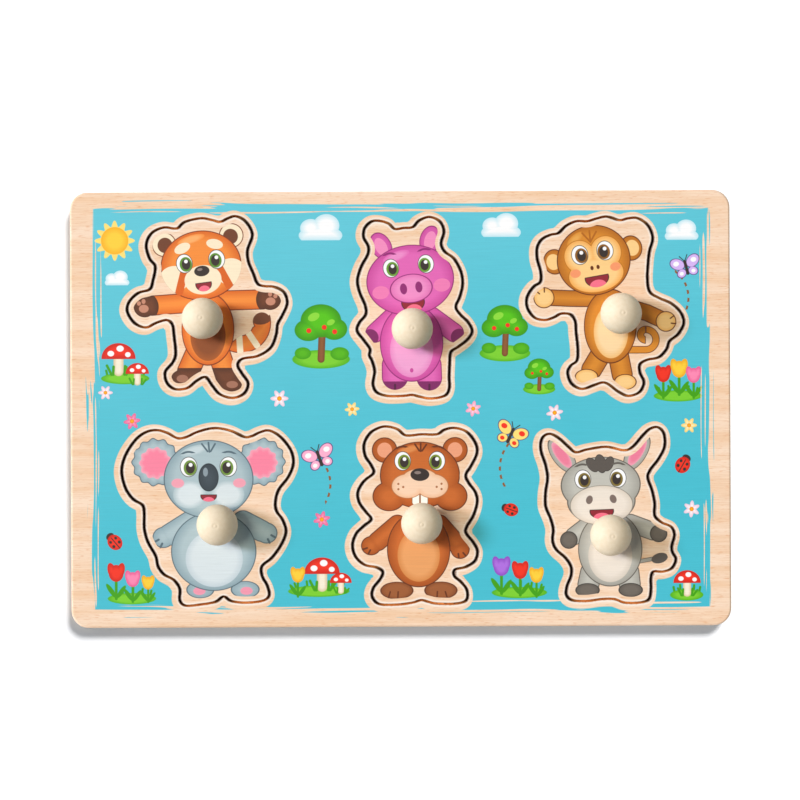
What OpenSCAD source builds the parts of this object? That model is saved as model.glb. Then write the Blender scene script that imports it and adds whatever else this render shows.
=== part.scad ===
// Knob puzzle: a two-layer wooden board with six shaped recesses, and six figures that lift out of them.
// Each figure carries a turned knob, drawn down onto its face by a countersunk screw from behind.
// Origin: middle of the underside. +X runs along the board, +Y towards its far edge, +Z up. Millimetres.

/* [Board] */
// Length of the board, along X
board_w = 300; // [280:1:340]
// Depth of the board, along Y
board_d = 198; // [190:1:240]
// Thickness of the upper board, which the recesses are cut through
frame_t = 5; // [4:0.5:8]
// Thickness of the backing board, which closes the recesses from below
back_t = 3; // [2:0.5:6]
// Radius of the board's four corners
corner_r = 8; // [4:0.5:14]
// Radius of the eased outer edges
ease_r = 1; // [0.3:0.1:1.5]

/* [Figures] */
// Width of the gap between a figure and the wall of its recess
cut_gap = 1; // [0.8:0.1:2]

/* [Knobs] */
// Diameter of the knob's rounded head
knob_head_d = 18.5; // [15:0.5:24]
// Height of the knob above the figure's face
knob_h = 18; // [15:0.5:24]
// Diameter of the knob's waist
knob_neck_d = 9.5; // [7:0.5:12]
// Height of the waist above the figure's face
knob_neck_h = 3.2; // [2:0.1:5]
// Diameter of the knob's foot
knob_foot_d = 13; // [12.5:0.5:18]
// Height of the straight rim of the foot
knob_foot_h = 0.8; // [0.4:0.1:1.6]

/* [Screws] */
// Diameter over the screw's thread
screw_d = 3; // [2.6:0.1:3.6]
// Diameter of the screw's core
screw_core_d = 2; // [1.6:0.1:2.4]
// Length of the screw from the face of its head to its point
screw_l = 14; // [12:0.5:17]
// Diameter of the countersunk head
screw_head_d = 6; // [5:0.1:7]
// Pitch of the thread
screw_pitch = 1.25; // [1:0.05:1.6]

/* [Hidden] */
// Smoothness of every round surface
$fn = 64;
// How far a cutting shape runs past the face that it cuts
overrun = 1;

FIGURES = ["red_panda", "pig", "monkey", "koala", "beaver", "donkey"];

// Width and depth of each figure's cut line, as shares of the board's length and depth
figure_size_shares = [
    [0.2435, 0.4165], [0.175, 0.4165], [0.238, 0.4115],
    [0.26, 0.409], [0.19, 0.409], [0.205, 0.404]
];
figure_colours = ["darkorange", "orchid", "goldenrod", "lightslategray", "sienna", "darkgray"];
// Where the middle of each figure lies, as shares of the board's length and depth
figure_place_shares = [
    [-0.2925, 0.2355], [0.0215, 0.232], [0.3105, 0.2335],
    [-0.2925, -0.2465], [0.0215, -0.2445], [0.3135, -0.2465]
];
// Where each knob stands on its figure, as shares of the figure's width and depth
knob_place_shares = [
    [-0.014, -0.067], [-0.02, -0.119], [0.0845, -0.0455],
    [0.067, -0.035], [0.05, -0.0365], [0.0015, -0.103]
];

// The cut lines, clockwise from the top of the left ear, as shares of each figure's width and depth
red_panda_shares = [
    [-0.265, 0.44], [-0.185, 0.435], [-0.135, 0.47], [-0.035, 0.49], [0.035, 0.48], [0.085, 0.47],
    [0.135, 0.49], [0.185, 0.5], [0.245, 0.47], [0.285, 0.4], [0.255, 0.315], [0.26, 0.25],
    [0.29, 0.185], [0.315, 0.13], [0.355, 0.115], [0.42, 0.11], [0.48, 0.08], [0.5, 0.02],
    [0.47, -0.045], [0.44, -0.095], [0.43, -0.155], [0.395, -0.225], [0.315, -0.27], [0.22, -0.285],
    [0.19, -0.32], [0.22, -0.37], [0.255, -0.42], [0.23, -0.475], [0.16, -0.5], [0.08, -0.48],
    [0.03, -0.43], [-0.01, -0.385], [-0.065, -0.405], [-0.125, -0.445], [-0.2, -0.45], [-0.25, -0.415],
    [-0.26, -0.355], [-0.215, -0.305], [-0.195, -0.255], [-0.205, -0.155], [-0.215, -0.095],
    [-0.25, -0.07], [-0.315, -0.085], [-0.38, -0.11], [-0.45, -0.085], [-0.495, -0.02], [-0.48, 0.035],
    [-0.425, 0.08], [-0.355, 0.1], [-0.335, 0.145], [-0.32, 0.225], [-0.355, 0.27], [-0.375, 0.345],
    [-0.34, 0.41]
];
pig_shares = [
    [-0.3, 0.48], [-0.22, 0.465], [-0.165, 0.435], [-0.09, 0.44], [-0.01, 0.445], [0.045, 0.48],
    [0.135, 0.5], [0.225, 0.475], [0.26, 0.42], [0.235, 0.355], [0.265, 0.31], [0.345, 0.27],
    [0.405, 0.2], [0.42, 0.13], [0.395, 0.06], [0.36, 0.005], [0.395, -0.035], [0.465, -0.08],
    [0.5, -0.13], [0.46, -0.175], [0.38, -0.215], [0.315, -0.245], [0.305, -0.305], [0.3, -0.38],
    [0.3, -0.445], [0.26, -0.485], [0.145, -0.5], [0.045, -0.49], [-0.02, -0.48], [-0.1, -0.485],
    [-0.23, -0.485], [-0.325, -0.465], [-0.36, -0.42], [-0.345, -0.35], [-0.365, -0.295],
    [-0.39, -0.26], [-0.385, -0.225], [-0.44, -0.175], [-0.495, -0.125], [-0.475, -0.08],
    [-0.42, -0.035], [-0.425, 0.015], [-0.47, 0.085], [-0.49, 0.155], [-0.455, 0.23], [-0.4, 0.295],
    [-0.395, 0.34], [-0.435, 0.39], [-0.425, 0.44], [-0.37, 0.475]
];
monkey_shares = [
    [-0.345, 0.4], [-0.295, 0.41], [-0.245, 0.45], [-0.18, 0.475], [-0.11, 0.475], [-0.05, 0.49],
    [0.015, 0.5], [0.095, 0.48], [0.15, 0.49], [0.21, 0.49], [0.275, 0.45], [0.305, 0.38],
    [0.285, 0.31], [0.275, 0.24], [0.27, 0.15], [0.285, 0.08], [0.345, 0.045], [0.42, 0.015],
    [0.48, -0.035], [0.5, -0.095], [0.465, -0.155], [0.41, -0.195], [0.39, -0.24], [0.34, -0.285],
    [0.265, -0.3], [0.22, -0.325], [0.22, -0.37], [0.245, -0.425], [0.215, -0.48], [0.145, -0.5],
    [0.08, -0.475], [0.02, -0.435], [-0.02, -0.425], [-0.075, -0.44], [-0.15, -0.46], [-0.215, -0.43],
    [-0.24, -0.37], [-0.22, -0.33], [-0.18, -0.3], [-0.175, -0.23], [-0.185, -0.145], [-0.19, -0.085],
    [-0.22, -0.045], [-0.28, -0.04], [-0.325, -0.06], [-0.385, -0.075], [-0.45, -0.06],
    [-0.495, -0.005], [-0.495, 0.055], [-0.455, 0.11], [-0.41, 0.14], [-0.41, 0.2], [-0.43, 0.265],
    [-0.43, 0.33], [-0.4, 0.375]
];
koala_shares = [
    [-0.295, 0.49], [-0.235, 0.475], [-0.175, 0.445], [-0.125, 0.45], [-0.055, 0.48], [0.04, 0.5],
    [0.135, 0.485], [0.215, 0.45], [0.26, 0.455], [0.305, 0.475], [0.36, 0.485], [0.425, 0.45],
    [0.485, 0.375], [0.5, 0.3], [0.47, 0.225], [0.415, 0.155], [0.395, 0.09], [0.4, 0.035],
    [0.435, -0.015], [0.455, -0.08], [0.43, -0.15], [0.375, -0.225], [0.315, -0.275], [0.315, -0.33],
    [0.345, -0.385], [0.355, -0.44], [0.315, -0.47], [0.215, -0.48], [0.135, -0.47], [0.09, -0.445],
    [0.04, -0.475], [-0.05, -0.49], [-0.13, -0.495], [-0.165, -0.465], [-0.165, -0.4], [-0.2, -0.35],
    [-0.255, -0.32], [-0.29, -0.275], [-0.305, -0.215], [-0.35, -0.135], [-0.37, -0.06], [-0.37, 0.02],
    [-0.38, 0.07], [-0.435, 0.105], [-0.48, 0.17], [-0.5, 0.265], [-0.475, 0.355], [-0.415, 0.44],
    [-0.355, 0.48]
];
beaver_shares = [
    [-0.225, 0.5], [-0.14, 0.485], [-0.07, 0.45], [0.055, 0.455], [0.175, 0.455], [0.235, 0.48],
    [0.315, 0.49], [0.41, 0.47], [0.48, 0.41], [0.495, 0.35], [0.45, 0.28], [0.405, 0.225],
    [0.43, 0.18], [0.48, 0.13], [0.495, 0.075], [0.465, 0], [0.41, -0.065], [0.405, -0.1],
    [0.46, -0.15], [0.495, -0.2], [0.475, -0.255], [0.4, -0.29], [0.315, -0.305], [0.31, -0.34],
    [0.365, -0.375], [0.41, -0.42], [0.405, -0.475], [0.325, -0.495], [0.175, -0.495], [0.105, -0.485],
    [0.045, -0.475], [-0.03, -0.49], [-0.16, -0.5], [-0.29, -0.495], [-0.345, -0.455],
    [-0.335, -0.405], [-0.28, -0.355], [-0.26, -0.315], [-0.31, -0.29], [-0.405, -0.275],
    [-0.475, -0.23], [-0.5, -0.165], [-0.47, -0.1], [-0.405, -0.055], [-0.35, -0.02], [-0.39, 0.02],
    [-0.445, 0.075], [-0.455, 0.135], [-0.405, 0.195], [-0.33, 0.24], [-0.35, 0.285], [-0.395, 0.335],
    [-0.405, 0.4], [-0.36, 0.46], [-0.295, 0.49]
];
donkey_shares = [
    [-0.425, 0.465], [-0.36, 0.44], [-0.295, 0.395], [-0.235, 0.36], [-0.155, 0.375], [-0.01, 0.39],
    [0.12, 0.37], [0.185, 0.39], [0.255, 0.45], [0.31, 0.49], [0.37, 0.5], [0.415, 0.465],
    [0.42, 0.39], [0.375, 0.32], [0.315, 0.26], [0.295, 0.215], [0.325, 0.145], [0.345, 0.07],
    [0.345, 0], [0.395, -0.04], [0.465, -0.065], [0.49, -0.11], [0.47, -0.175], [0.475, -0.21],
    [0.5, -0.25], [0.47, -0.3], [0.405, -0.32], [0.335, -0.32], [0.315, -0.355], [0.315, -0.42],
    [0.3, -0.475], [0.235, -0.495], [0.12, -0.495], [0.045, -0.475], [-0.05, -0.475], [-0.16, -0.485],
    [-0.265, -0.48], [-0.31, -0.45], [-0.305, -0.4], [-0.275, -0.34], [-0.275, -0.29], [-0.315, -0.24],
    [-0.385, -0.19], [-0.41, -0.14], [-0.405, -0.075], [-0.425, -0.015], [-0.46, 0.055],
    [-0.46, 0.135], [-0.445, 0.215], [-0.46, 0.29], [-0.49, 0.36], [-0.495, 0.41], [-0.475, 0.45]
];
figure_shares = [red_panda_shares, pig_shares, monkey_shares, koala_shares, beaver_shares, donkey_shares];

// Heights of the layers, from the underside up
figure_t = frame_t;
face_z = back_t + frame_t;

// Straight steps that a spline takes between two points of a cut line, and that a rounded arc takes
spline_steps = 4;
arc_steps = 6;
turning_steps = 14;

// Share of the head's height at which a knob is widest
knob_widest_share = 0.42;

// How far the screw's head sits below the figure's back, and the straight rim of that head
screw_sink = 0.3;
screw_rim_h = 0.3;
// Length of the screw's point
screw_tip_l = 2.5;
// Clearance round the screw in the figure, and past its point in the knob
screw_clearance = 0.2;
// Diameter of the pilot hole in the knob, which the thread bites into
pilot_d = 2.3;
// Cross recess in the screw's head
cross_l = 3.4;
cross_w = 0.9;
cross_h = 1.2;

// Centre and size of a figure on the board, and the centre of its knob
function figure_at(i) = scaled(figure_place_shares[i], [board_w, board_d]);
function figure_size(i) = scaled(figure_size_shares[i], [board_w, board_d]);
function knob_at(i) = figure_at(i) + scaled(knob_place_shares[i], figure_size(i));
function scaled(shares, size) = [shares.x * size.x, shares.y * size.y];

// A point of the closed spline through the list, on the stretch that starts at entry i, and the direction there
function entry(list, i) = list[(i + len(list)) % len(list)];
function spline_point(p, i, t) =
    entry(p, i)
    + (entry(p, i + 1) - entry(p, i - 1)) * t / 2
    + (2 * entry(p, i - 1) - 5 * entry(p, i) + 4 * entry(p, i + 1) - entry(p, i + 2)) * t * t / 2
    + (3 * entry(p, i) - entry(p, i - 1) - 3 * entry(p, i + 1) + entry(p, i + 2)) * t * t * t / 2;
function spline_slope(p, i, t) =
    (entry(p, i + 1) - entry(p, i - 1)) / 2
    + (2 * entry(p, i - 1) - 5 * entry(p, i) + 4 * entry(p, i + 1) - entry(p, i + 2)) * t
    + 3 * (3 * entry(p, i) - entry(p, i - 1) - 3 * entry(p, i + 1) + entry(p, i + 2)) * t * t / 2;
// The unit vector to the left of a direction, which points out of a clockwise outline
function left_of(v) = [-v.y, v.x] / norm(v);

// The closed outline of figure i, moved outwards from its cut line by a distance
function outline(i, outwards) =
    let (p = [for (s = figure_shares[i]) scaled(s, figure_size(i))])
    [
        for (k = [0 : len(p) - 1], step = [0 : spline_steps - 1])
            let (t = step / spline_steps)
            spline_point(p, k, t) + outwards * left_of(spline_slope(p, k, t))
    ];

// Points along a quarter or part of an ellipse about a centre
function arc(centre, radii, from, to, steps) =
    [for (k = [0 : steps]) let (a = from + (to - from) * k / steps) centre + [radii.x * cos(a), radii.y * sin(a)]];

// Section through the board's rim: a strip as wide as the corner radius, eased at its outer upper edge
function rim_section(t) = concat(
    [[0, 0], [corner_r, 0]],
    arc([corner_r - ease_r, t - ease_r], [ease_r, ease_r], 0, 90, arc_steps),
    [[0, t]]
);

// A slab of the board's outline with its upper outer edge eased: a core, four straight rims and four corners
module slab(t) {
    inner = [board_w - 2 * corner_r, board_d - 2 * corner_r];
    translate([-inner.x / 2, -inner.y / 2, 0]) cube([inner.x, inner.y, t]);
    for (side = [0, 1]) {
        rotate(180 * side) {
            straight_rim(inner.x, inner.y / 2, t);
            rotate(90) straight_rim(inner.y, inner.x / 2, t);
            translate([inner.x / 2, inner.y / 2, 0]) corner_rim(t);
            rotate(90) translate([inner.y / 2, inner.x / 2, 0]) corner_rim(t);
        }
    }
}

// One straight rim of the slab, on the +Y side at a distance from the middle
module straight_rim(length, distance, t) {
    translate([-length / 2, distance, 0])
        rotate([90, 0, 90])
            linear_extrude(length) polygon(rim_section(t));
}

// One quarter-round corner of the slab
module corner_rim(t) {
    rotate_extrude(angle = 90) polygon(rim_section(t));
}

// The upper board: a picture side with six recesses cut right through it
module frame_board() {
    color("mediumturquoise")
        translate([0, 0, back_t])
            difference() {
                slab(frame_t);
                for (i = [0 : len(FIGURES) - 1]) {
                    translate(concat(figure_at(i), [-overrun]))
                        linear_extrude(frame_t + 2 * overrun) polygon(outline(i, cut_gap / 2));
                }
            }
}

// The backing board, glued under the upper board, with its lower outer edge eased
module backing_board() {
    color("burlywood")
        translate([0, 0, back_t])
            mirror([0, 0, 1])
                slab(back_t);
}

// A figure: a flat cut-out that drops into its recess, drilled and countersunk from behind for the knob's screw
module figure_piece(i) {
    hole_r = screw_d / 2 + screw_clearance;
    seat_r = screw_head_d / 2 + screw_clearance;
    seat_h = screw_sink + screw_rim_h;
    color(figure_colours[i])
        translate([0, 0, back_t])
            difference() {
                translate(figure_at(i)) linear_extrude(figure_t) polygon(outline(i, -cut_gap / 2));
                translate(knob_at(i)) {
                    translate([0, 0, -overrun]) cylinder(h = figure_t + 2 * overrun, r = hole_r);
                    translate([0, 0, -overrun]) cylinder(h = seat_h + overrun, r = seat_r);
                    translate([0, 0, seat_h]) cylinder(h = seat_r - hole_r, r1 = seat_r, r2 = hole_r);
                }
            }
}

// Half-section of a knob: a rimmed foot, a cove up to the waist, and a head of two half ellipses
function knob_section() =
    let (
        head_r = knob_head_d / 2,
        neck_r = knob_neck_d / 2,
        foot_r = knob_foot_d / 2,
        widest_h = knob_neck_h + knob_widest_share * (knob_h - knob_neck_h),
        neck_angle = acos(neck_r / head_r),
        under_h = (widest_h - knob_neck_h) / sin(neck_angle)
    )
    concat(
        [[0, 0], [foot_r, 0]],
        arc([foot_r, knob_neck_h], [foot_r - neck_r, knob_neck_h - knob_foot_h], -90, -180, arc_steps),
        arc([0, widest_h], [head_r, under_h], -neck_angle, 0, turning_steps),
        arc([0, widest_h], [head_r, knob_h - widest_h], 0, 90, turning_steps)
    );

// A turned knob, standing on its figure's face, with a pilot hole from below
module figure_knob(i) {
    pilot_h = screw_sink + screw_l - figure_t + screw_clearance;
    color("wheat")
        translate(concat(knob_at(i), [face_z]))
            difference() {
                rotate_extrude() polygon(knob_section());
                translate([0, 0, -overrun]) cylinder(h = pilot_h + overrun, r = pilot_d / 2);
            }
}

// Half-section of the screw, from its head's face up to its point, with the thread as a row of ridges
function screw_section() =
    let (
        core_r = screw_core_d / 2,
        head_r = screw_head_d / 2,
        shank_h = screw_rim_h + head_r - core_r,
        turns = floor((screw_l - screw_tip_l - shank_h) / screw_pitch)
    )
    concat(
        [[0, 0], [head_r, 0], [head_r, screw_rim_h], [core_r, shank_h]],
        [
            for (k = [1 : turns], ridge = [true, false])
                ridge ? [screw_d / 2, shank_h + (k - 1 / 2) * screw_pitch] : [core_r, shank_h + k * screw_pitch]
        ],
        [[core_r, screw_l - screw_tip_l], [0, screw_l]]
    );

// The countersunk screw that holds a knob, driven from behind the figure, with a cross recess
module figure_screw(i) {
    color("silver")
        translate(concat(knob_at(i), [back_t + screw_sink]))
            difference() {
                rotate_extrude() polygon(screw_section());
                for (turn = [0, 90]) {
                    rotate(turn)
                        translate([-cross_l / 2, -cross_w / 2, -overrun])
                            cube([cross_l, cross_w, cross_h + overrun]);
                }
            }
}

frame_board();
backing_board();
for (i = [0 : len(FIGURES) - 1]) {
    figure_piece(i);
    figure_knob(i);
    figure_screw(i);
}
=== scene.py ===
"""A wooden knob puzzle: a printed board with six figures that lift out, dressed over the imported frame."""
import math
from functools import partialmethod, reduce

import bpy
import numpy as np
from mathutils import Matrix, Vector
from mathutils.geometry import delaunay_2d_cdt


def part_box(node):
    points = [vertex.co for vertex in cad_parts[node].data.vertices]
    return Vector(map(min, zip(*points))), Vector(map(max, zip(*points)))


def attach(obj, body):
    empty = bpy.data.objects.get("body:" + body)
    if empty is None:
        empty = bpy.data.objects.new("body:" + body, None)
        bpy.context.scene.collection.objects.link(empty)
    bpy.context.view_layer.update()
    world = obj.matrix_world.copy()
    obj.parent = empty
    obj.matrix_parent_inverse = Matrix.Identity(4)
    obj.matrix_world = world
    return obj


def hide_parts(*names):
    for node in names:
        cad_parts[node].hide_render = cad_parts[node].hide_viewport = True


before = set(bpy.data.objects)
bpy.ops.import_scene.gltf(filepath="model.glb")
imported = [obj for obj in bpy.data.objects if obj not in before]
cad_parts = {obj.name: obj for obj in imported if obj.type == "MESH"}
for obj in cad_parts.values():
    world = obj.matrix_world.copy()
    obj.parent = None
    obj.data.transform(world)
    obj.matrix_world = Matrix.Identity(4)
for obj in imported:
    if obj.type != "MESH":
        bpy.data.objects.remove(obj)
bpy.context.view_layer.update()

MM = 0.001

# Sizes of the sheets' finish, in millimetres: corners, eased edges, the bare wood round the recesses and
# along the figures' edges, how far the print lies off its place, its drawn lines, and its edges' softness
CORNER_R = 8.0
BOARD_EASE = 1.0
CUT_EASE = 0.25
HALO = 2.5
FIGURE_RIM = 2.3
PRINT_SHIFT = (-0.6, -0.4)
LINE = 0.45
SOFT = 0.1
EDGE = 0.15

# How far the distance from a cut is kept, and the rows of points beside a mark, in millimetres
FAR = 10.0
MARK_INSETS = (-0.6, 0.2, 1.0, 1.8, 2.6)

# Steps of the grids of points on the sheets, in millimetres, and how clear of a loop they keep, in steps
BOARD_GRID = 1.6
BACKING_GRID = 4.0
FIGURE_GRID = 1.0
GRID_CLEAR_SHARE = 0.6

# Doubled jumps that rank the points along a loop, enough for 2 to that power of them, and points put in the
# place of each
JUMPS = 16
REFINE = 3

# The bore and countersink for a knob's screw, from a figure's back, in millimetres
BORE_R = 1.7
SEAT_R = 3.2
SEAT_H = 0.6
BORE_RINGS = 4

# Sizes of a knob, in millimetres: neck, foot, and the groove round the pip on its crown; points in a turn
KNOB_NECK_R = 4.75
KNOB_NECK_H = 3.2
KNOB_FOOT_R = 6.5
KNOB_FOOT_H = 0.8
KNOB_WIDEST_SHARE = 0.42
PIP_R = 0.9
PIP_DEPTH = 0.16
PIP_SPREAD = 0.4
CROWN_DROP = 0.02
KNOB_TURN = 96

# Burnt wood in a cut, with painted light and shade: a paler lit brown where the cut runs along the grain,
# and near-black painted shade where it lies across it
LIT_SCORCH = "e89c48"
SHADED_CHAR = "1c0d05"


# Shading tools

def dye(code):
    """A colour written as six hex digits, turned into the linear numbers that a shader takes."""
    part = np.array([int(code[k:k + 2], 16) for k in (0, 2, 4)]) / 255
    line = np.where(part <= 0.04045, part / 12.92, ((part + 0.055) / 1.055) ** 2.4)
    return (*line.tolist(), 1.0)


class Value:
    """A number or vector that varies over a surface. Operators on numbers add their Math nodes; for shapes,
    which are distances, | joins, & keeps the overlap and ~ turns inside out."""

    def __init__(self, paint, socket):
        self.paint = paint
        self.socket = socket

    def math(self, operation, *others):
        return self.paint.node("Math", {"operation": operation}, [self, *others])

    __abs__ = partialmethod(math, "ABSOLUTE")
    __add__ = partialmethod(math, "ADD")
    __and__ = partialmethod(math, "MAXIMUM")
    __invert__ = partialmethod(math, "MULTIPLY", -1.0)
    __mul__ = partialmethod(math, "MULTIPLY")
    __or__ = partialmethod(math, "MINIMUM")
    __sub__ = partialmethod(math, "SUBTRACT")

    def __rsub__(self, other):
        return self.paint.node("Math", {"operation": "SUBTRACT"}, [other, self])


class Nodes:
    """The nodes of a material or a world: node() adds any of them, and the rest are the ones used most. A
    socket takes a Value, a constant, or a colour written as six hex digits."""

    def __init__(self, owner):
        owner.use_nodes = True
        self.tree = owner.node_tree
        self.tree.nodes.clear()

    def node(self, kind, settings, inputs, output=0):
        made = self.tree.nodes.new("ShaderNode" + kind)
        for key, value in settings.items():
            setattr(made, key, value)
        for key, value in inputs.items() if isinstance(inputs, dict) else enumerate(inputs):
            if isinstance(value, Value):
                self.tree.links.new(value.socket, made.inputs[key])
            else:
                made.inputs[key].default_value = dye(value) if isinstance(value, str) else value
        return Value(self, made.outputs[output]) if made.outputs else made

    def vector(self, operation, *inputs):
        output = int(operation in ("LENGTH", "DOT_PRODUCT"))
        return self.node("VectorMath", {"operation": operation}, inputs, output)

    def xy(self, vector):
        """The first two parts of a vector."""
        parts = self.node("SeparateXYZ", {}, [vector])
        return parts, Value(self, parts.socket.node.outputs[1])

    def ramp(self, value, low, high, start=0.0, end=1.0):
        """A number that goes from start to end while the value goes from low to high."""
        return self.node("MapRange", {}, [value, low, high, start, end])


class Paint(Nodes):
    """A material being mixed, on places in millimetres."""

    def __init__(self, name):
        self.material = bpy.data.materials.new(name)
        super().__init__(self.material)
        place = self.node("TexCoord", {}, {}, "Object")
        self.mm = self.vector("MULTIPLY", place, (1 / MM,) * 3)

    def height(self):
        """Height above the table, in millimetres."""
        return self.vector("DOT_PRODUCT", self.mm, (0.0, 0.0, 1.0))

    def on_top(self, z):
        """One on a sheet's upper face at such a height, and nothing below it."""
        return self.ramp(self.height(), z - 0.1, z - 0.05)

    def mix(self, share, under, over):
        return self.node("Mix", {"data_type": "RGBA"}, {0: share, 6: under, 7: over}, 2)

    def noise(self, per_mm, detail=2.0, shift=(0.0, 0.0, 0.0)):
        """Soft noise with so many waves to the millimetre along X, Y and Z."""
        at = self.vector("MULTIPLY_ADD", self.mm, per_mm, shift)
        return self.node("TexNoise", {}, {"Vector": at, "Scale": 1.0, "Detail": detail})

    def attribute(self, name):
        return self.node("Attribute", {"attribute_name": name}, {}, "Fac")

    def finish(self, colour, roughness, height=None, relief=0.05, **constants):
        """The shader: what varies feeds its colour, roughness and bump, and the rest are constants on it."""
        inputs = {"Base Color": colour, "Roughness": roughness}
        if height:
            inputs["Normal"] = self.node(
                "Bump", {}, {"Strength": 0.6, "Distance": relief * MM, "Height": height})
        inputs.update({key.replace("_", " "): value for key, value in constants.items()})
        shader = self.node("BsdfPrincipled", {}, inputs)
        self.node("OutputMaterial", {}, {"Surface": shader})
        return self.material


class Spot:
    """A place on a printed face, with its own origin and turn. Shapes drawn from it are distances in
    millimetres, negative inside; a mirrored spot repeats on its left what is drawn on its right."""

    def __init__(self, paint, at):
        self.paint = paint
        self.vector = paint.vector
        self.at = at

    def moved(self, x, y, turn, scale=(1.0, 1.0, 1.0)):
        inputs = [self.at, (x, y, 0.0), (0.0, 0.0, math.radians(turn)), scale]
        return self.paint.node("Mapping", {"vector_type": "TEXTURE"}, inputs)

    def spot(self, x, y, turn=0.0, size=1.0):
        return Spot(self.paint, self.moved(x, y, turn, (size, size, 1.0)))

    def both(self, x, y, turn=0.0, size=1.0):
        """A spot, and the same one mirrored."""
        one = self.spot(x, y, turn, size)
        flipped = self.vector("MULTIPLY", one.at, (-1.0, 1.0, 1.0))
        return one, Spot(self.paint, self.vector("MAXIMUM", one.at, flipped))

    def oval(self, x, y, a, b, turn=0.0):
        """An ellipse: how far the point lies out along the ellipse's own radius, times its mean radius."""
        if turn:
            q = self.moved(x, y, turn, (a, b, 1.0))
        else:
            q = self.vector("MULTIPLY_ADD", self.at, (1 / a, 1 / b, 0.0), (-x / a, -y / b, 0.0))
        mean = math.sqrt(a * b)
        return self.vector("LENGTH", q).math("MULTIPLY_ADD", mean, -mean)

    def bar(self, x, y, to_x, to_y, radius):
        """A straight stroke with round ends: distance from the line between two points, less its radius."""
        turn = math.degrees(math.atan2(to_y - y, to_x - x))
        half = math.hypot(to_x - x, to_y - y) / 2
        q = self.moved((x + to_x) / 2, (y + to_y) / 2, turn)
        q = self.vector("SUBTRACT", self.vector("ABSOLUTE", q), (half, 0.0, 0.0))
        return self.vector("LENGTH", self.vector("MAXIMUM", q, (0.0, 0.0, 0.0))) - radius

    def ovals(self, *rows):
        return reduce(Value.__or__, [self.oval(*row) for row in rows])

    def bars(self, radius, *rows):
        return reduce(Value.__or__, [self.bar(*row, radius) for row in rows])

    def arch(self, x, y, radius, width, facing, spread):
        """Part of a ring, that spreads so many degrees to each side of the way that it faces."""
        q = self.moved(x, y, facing)
        ring = abs(self.vector("LENGTH", q) - radius) - width
        chord = radius * math.cos(math.radians(spread))
        return ring & self.vector("DOT_PRODUCT", q, (-1.0, 0.0, 0.0)) + chord

    def bloom(self, x, y, radius, petals, depth, turn=0.0):
        """A round with petals: its radius swells and shrinks by depth, so many times in one turn."""
        q = self.moved(x, y, turn)
        along, side = self.paint.xy(q)
        wave = (side.math("ARCTAN2", along) * petals).math("COSINE") * depth
        return self.vector("LENGTH", q) - (wave + radius)

    def below(self, y):
        """Everything under a level line."""
        return self.vector("DOT_PRODUCT", self.at, (0.0, 1.0, 0.0)) - y


class Print:
    """Ink on a face: each call lays one shape over what is there."""

    def __init__(self, paint, ground):
        self.paint = paint
        self.ink = ground

    def lay(self, shape, colour, inset=0.0):
        share = self.paint.ramp(shape, -inset - SOFT, -inset + SOFT, 1.0, 0.0)
        self.ink = self.paint.mix(share, self.ink, colour)

    def __call__(self, shape, fill, line=None, rim=None, depth=4.0, width=LINE):
        """Fill a shape, inside a line of its own, with a rim colour that fades over a depth to the fill."""
        if rim:
            fill = self.paint.mix(self.paint.ramp(shape, -depth, 0.0), fill, rim)
        if line:
            self.lay(shape, line)
        self.lay(shape, fill, width if line else 0.0)


# Surfaces

def rows_of(items, per, key):
    """An array of whole rows read from a mesh's items in one call."""
    data = np.empty(len(items) * per, dtype=np.int32 if key == "vertex_index" else np.float32)
    items.foreach_get(key, data)
    return data.reshape(-1, per)


def circle(turns):
    """Points at some angles round the unit circle."""
    return np.stack([np.cos(turns), np.sin(turns)], 1)


def raised(rings, heights):
    """Flat rings of points, each lifted to its own height."""
    return np.concatenate([rings, np.broadcast_to(heights[:, None, None], (*rings.shape[:2], 1))], 2)


def strips(index):
    """Four-sided faces between rows of point numbers, where each row is a closed ring."""
    turned = np.roll(index, -1, 1)
    return np.stack([index[:-1], turned[:-1], turned[1:], index[1:]], -1).reshape(-1, 4)


def corners(node):
    """The low and high corners of a node's box, in millimetres."""
    low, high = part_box(node)
    return np.array(low) / MM, np.array(high) / MM


def face_loops(node):
    """The closed loops round a node's uppermost flat face, in millimetres. Edges that only one triangle of
    the face uses are its border; jumps along it, doubled each time, rank each loop's points in order."""
    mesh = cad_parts[node].data
    points = rows_of(mesh.vertices, 3, "co") / MM
    faces = rows_of(mesh.loops, 1, "vertex_index").reshape(-1, 3)
    points, weld = np.unique(np.round(points, 4), axis=0, return_inverse=True)
    faces = weld.reshape(-1)[faces]
    faces = faces[(points[faces, 2] > points[:, 2].max() - 1e-3).all(1)]
    start = faces.reshape(-1)
    end = np.roll(faces, -1, 1).reshape(-1)
    own = np.arange(len(points))
    border = ~np.isin(start * len(own) + end, end * len(own) + start)
    after = own.copy()
    after[start[border]] = end[border]
    first, jump = own, after
    for _ in range(JUMPS):
        first = np.minimum(first, first[jump])
        jump = jump[jump]
    jump = np.where(after == first, own, after)
    rank = (jump != own).astype(int)
    for _ in range(JUMPS):
        rank = rank + rank[jump]
        jump = jump[jump]
    order = np.lexsort([-rank, first])
    order = order[np.isin(order, start[border])]
    loops = np.split(points[order, :2], np.flatnonzero(np.diff(first[order])) + 1)
    return sorted(loops, key=lambda loop: -np.ptp(loop, 0).prod())


def refined(loop):
    """The closed spline through a loop's points, with REFINE points for each of them."""
    before, after, next_after = (np.roll(loop, k, 0) for k in (1, -1, -2))
    t = np.arange(REFINE)[None, :, None] / REFINE
    p0, p1, p2, p3 = (p[:, None] for p in (before, loop, after, next_after))
    curve = p1 + (p2 - p0) * t / 2 + (2 * p0 - 5 * p1 + 4 * p2 - p3) * t ** 2 / 2
    return (curve + (3 * p1 - p0 - 3 * p2 + p3) * t ** 3 / 2).reshape(-1, 2)


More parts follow.
